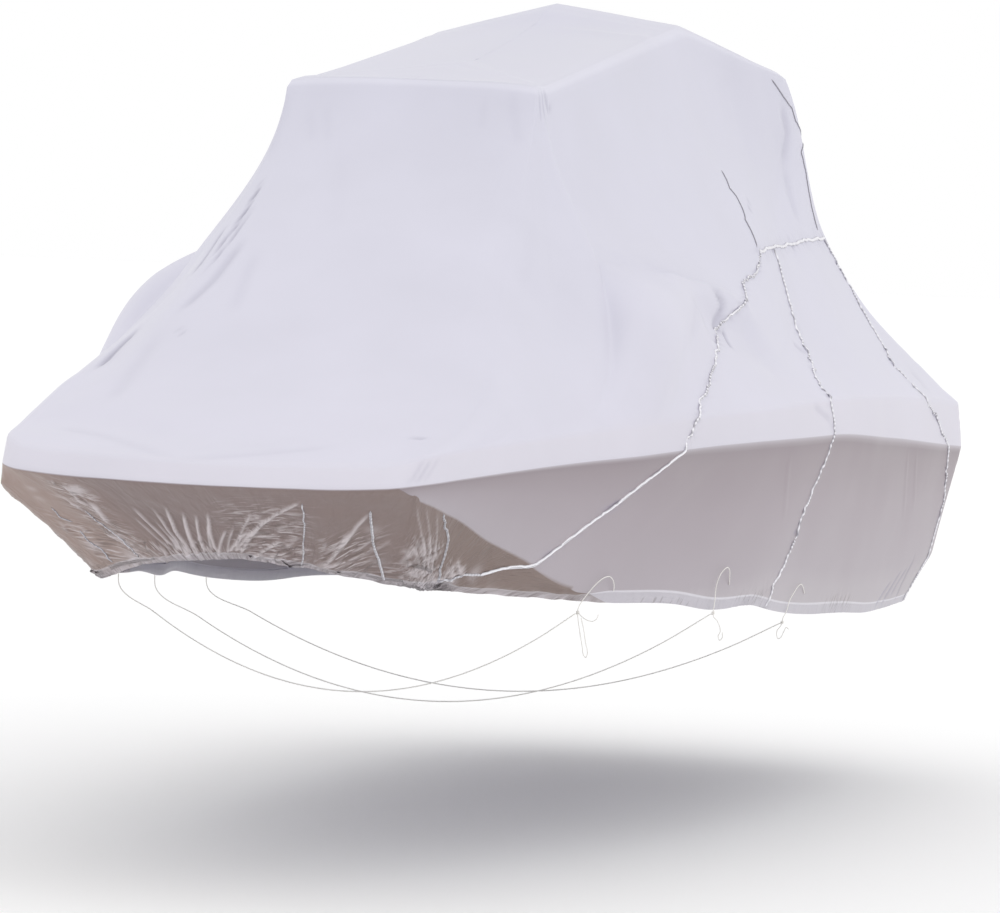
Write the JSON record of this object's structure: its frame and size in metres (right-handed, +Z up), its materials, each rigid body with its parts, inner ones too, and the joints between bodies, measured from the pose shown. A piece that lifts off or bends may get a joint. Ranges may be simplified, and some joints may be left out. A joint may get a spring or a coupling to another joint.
{
  "type": "boat cover",
  "caption": "Fitted cover of white heat-shrink film over a boat's deck and roof frame, with puckered weld seams, a folded hem, hem ties and belly bands underneath.",
  "frame": {"origin": "just under the film at the peak of the roof, on the centre line, where the cover is carried", "axes": "+X to port, +Y towards the stern, +Z up"},
  "size_m": [2.588, 6.27, 2.6793],
  "materials": {
    "film": "satin, slightly translucent",
    "weld": "satin",
    "cord": "matt"
  },
  "bodies": {
    "root": {"film_main": "film", "film_quarter_fore": "film", "film_quarter_aft": "film", "weld_fore": "weld", "weld_mid": "weld", "weld_aft": "weld", "weld_cross": "weld", "weld_dart_fore": "weld", "weld_dart_aft": "weld", "tie_fore_cord": "cord", "tie_middle_cord": "cord", "tie_aft_cord": "cord", "tie_fore_tail": "cord", "belly_band_fore": "cord", "belly_band_middle": "cord", "belly_band_aft": "cord", "knot_fore": "cord", "knot_middle": "cord", "knot_aft": "cord"}
  },
  "joints": []
}
